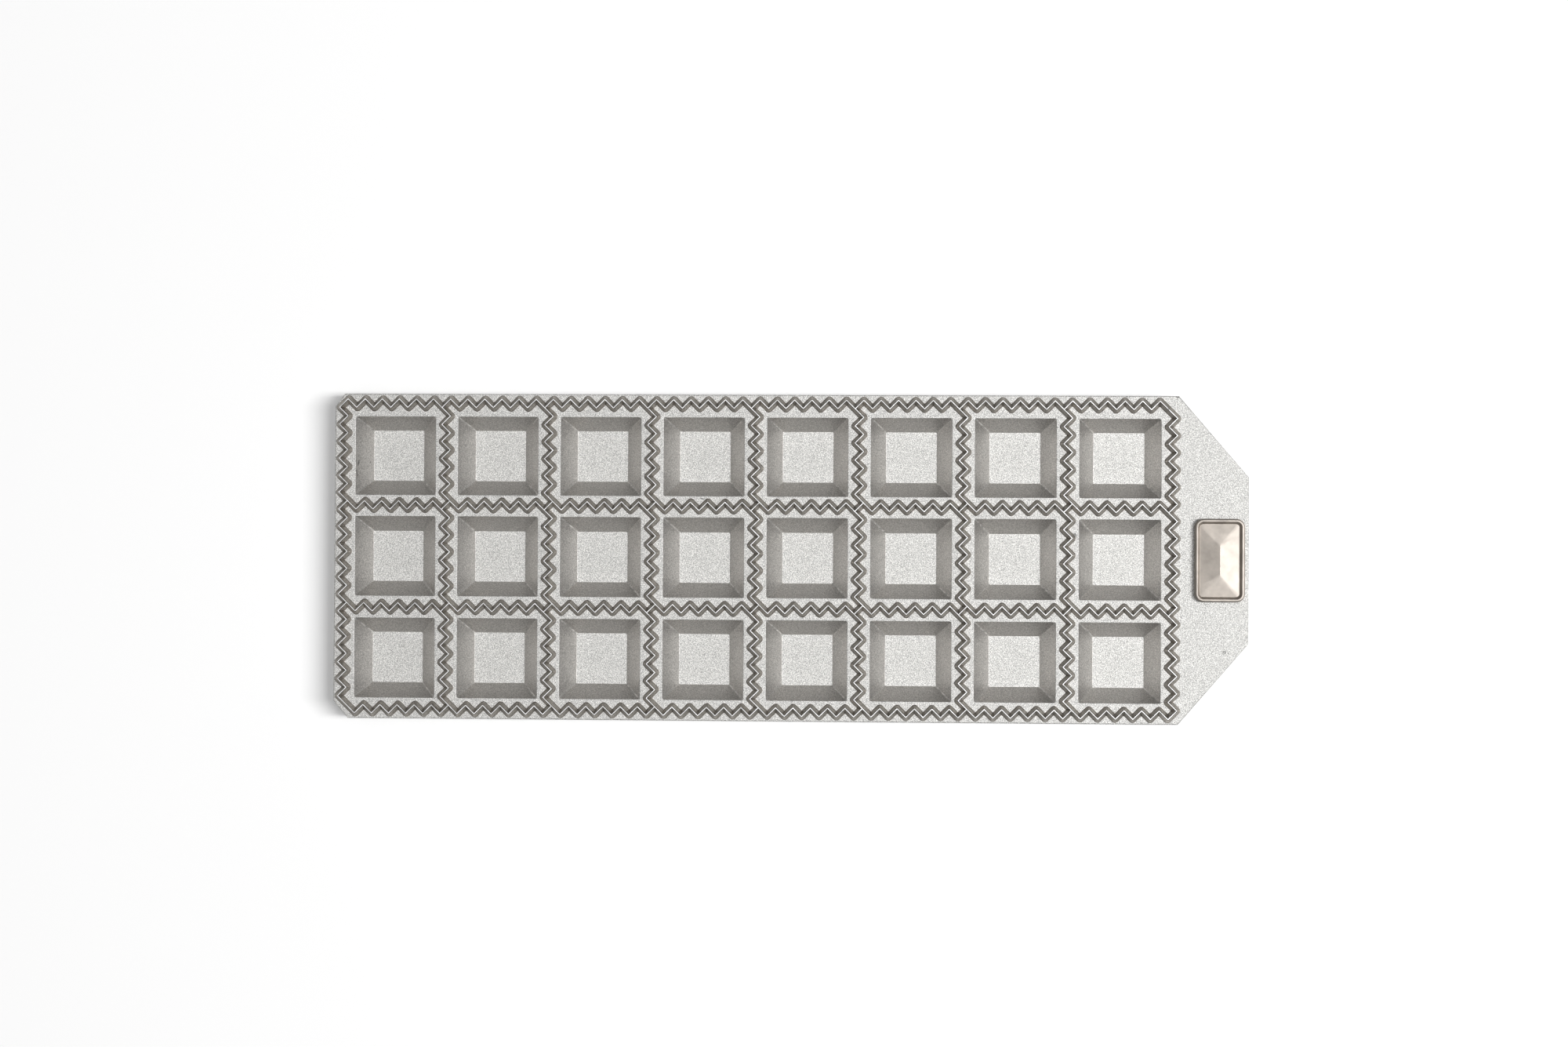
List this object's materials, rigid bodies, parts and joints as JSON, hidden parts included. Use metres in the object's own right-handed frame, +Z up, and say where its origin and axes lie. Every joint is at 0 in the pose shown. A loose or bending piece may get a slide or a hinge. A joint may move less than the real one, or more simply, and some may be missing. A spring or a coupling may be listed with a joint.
{
  "type": "ravioli mold",
  "caption": "Cast aluminium ravioli tablet: square tapered pockets fenced by raised zigzag cutting ridges, with a tapered handle end, a blank chromed plate and rubber feet.",
  "frame": {"origin": "middle of the whole tablet in X and Y, on the surface that its rubber feet stand on", "axes": "+X along the tablet towards its handle end, +Y across it towards the small cut corner, +Z up out of the pockets"},
  "size_m": [0.3226, 0.1156, 0.0181],
  "materials": {
    "cast_aluminium": "fine shot-blasted",
    "chromed_plate": "polished",
    "foot_rubber": "matte"
  },
  "bodies": {
    "root": {"mould_plate": "cast_aluminium", "badge_plate": "chromed_plate", "foot_front_left": "foot_rubber", "foot_rear_left": "foot_rubber", "foot_front_right": "foot_rubber", "foot_rear_right": "foot_rubber"}
  },
  "joints": []
}
